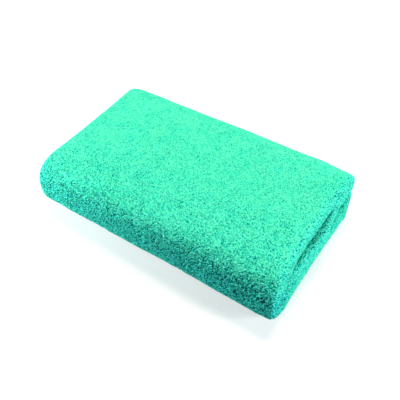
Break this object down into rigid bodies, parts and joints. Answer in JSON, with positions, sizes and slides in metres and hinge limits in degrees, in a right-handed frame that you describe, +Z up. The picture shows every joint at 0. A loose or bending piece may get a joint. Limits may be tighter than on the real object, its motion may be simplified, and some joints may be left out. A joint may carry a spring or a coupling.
{
  "type": "towel",
  "caption": "Terry towel folded into a flat rectangular stack of three leaves, with a round front fold; the top leaf opens forward like a book.",
  "frame": {"origin": "middle of the footprint, on the surface that the folded towel rests on", "axes": "+Z up; X along the fold lines, the longest side; -Y towards the round front fold"},
  "size_m": [0.35, 0.212, 0.0757],
  "materials": {
    "terry": "matte looped pile",
    "flat_weave": "matte flat weave",
    "thread": "matte twisted thread"
  },
  "bodies": {
    "folded_base": {"bottom_leaf_outer_layers": "terry", "bottom_leaf_inner_layers": "terry", "bottom_leaf_left_turn": "terry", "bottom_leaf_end_hem_1": "flat_weave", "bottom_leaf_end_hem_2": "flat_weave", "bottom_leaf_end_seam_1": "thread", "bottom_leaf_end_seam_2": "thread", "middle_leaf_outer_layers": "terry", "middle_leaf_inner_layers": "terry", "middle_leaf_left_turn": "terry", "middle_leaf_end_hem_1": "flat_weave", "middle_leaf_end_hem_2": "flat_weave", "middle_leaf_end_seam_1": "thread", "middle_leaf_end_seam_2": "thread", "back_fold_outer_layers": "terry", "back_fold_inner_layers": "terry", "back_fold_left_turn": "terry", "back_fold_end_hem_1": "flat_weave", "back_fold_end_hem_2": "flat_weave", "back_fold_end_seam_1": "thread", "back_fold_end_seam_2": "thread", "middle_leaf_side_hem": "flat_weave", "middle_leaf_side_seam": "thread"},
    "top_leaf": {"top_leaf_outer_layers": "terry", "top_leaf_inner_layers": "terry", "top_leaf_left_turn": "terry", "top_leaf_end_hem_1": "flat_weave", "top_leaf_end_hem_2": "flat_weave", "top_leaf_end_seam_1": "thread", "top_leaf_end_seam_2": "thread", "top_leaf_side_hem": "flat_weave", "top_leaf_side_seam": "thread"},
    "front_fold": {"front_fold_lower_outer_layers": "terry", "front_fold_lower_inner_layers": "terry", "front_fold_lower_left_turn": "terry", "front_fold_lower_end_hem_1": "flat_weave", "front_fold_lower_end_hem_2": "flat_weave", "front_fold_lower_end_seam_1": "thread", "front_fold_lower_end_seam_2": "thread", "front_fold_upper_outer_layers": "terry", "front_fold_upper_inner_layers": "terry", "front_fold_upper_left_turn": "terry", "front_fold_upper_end_hem_1": "flat_weave", "front_fold_upper_end_hem_2": "flat_weave", "front_fold_upper_end_seam_1": "thread", "front_fold_upper_end_seam_2": "thread"}
  },
  "joints": [
    {"name": "fold_lower_bend", "type": "hinge", "parent": "folded_base", "child": "front_fold", "pos_m": [0, -0.0881, 0.0179], "axis": [1, 0, 0], "range_deg": [0, 90], "deforming": ["front_fold_lower_outer_layers", "front_fold_lower_inner_layers", "front_fold_lower_left_turn", "front_fold_lower_end_hem_1", "front_fold_lower_end_hem_2", "front_fold_lower_end_seam_1", "front_fold_lower_end_seam_2"]},
    {"name": "fold_upper_bend", "type": "hinge", "parent": "front_fold", "child": "top_leaf", "pos_m": [0, -0.0881, 0.0578], "axis": [1, 0, 0], "range_deg": [0, 90], "deforming": ["front_fold_upper_outer_layers", "front_fold_upper_inner_layers", "front_fold_upper_left_turn", "front_fold_upper_end_hem_1", "front_fold_upper_end_hem_2", "front_fold_upper_end_seam_1", "front_fold_upper_end_seam_2"]}
  ],
  "couplings": [
    {"joint": "fold_upper_bend", "follows": "fold_lower_bend", "ratio": 1}
  ]
}
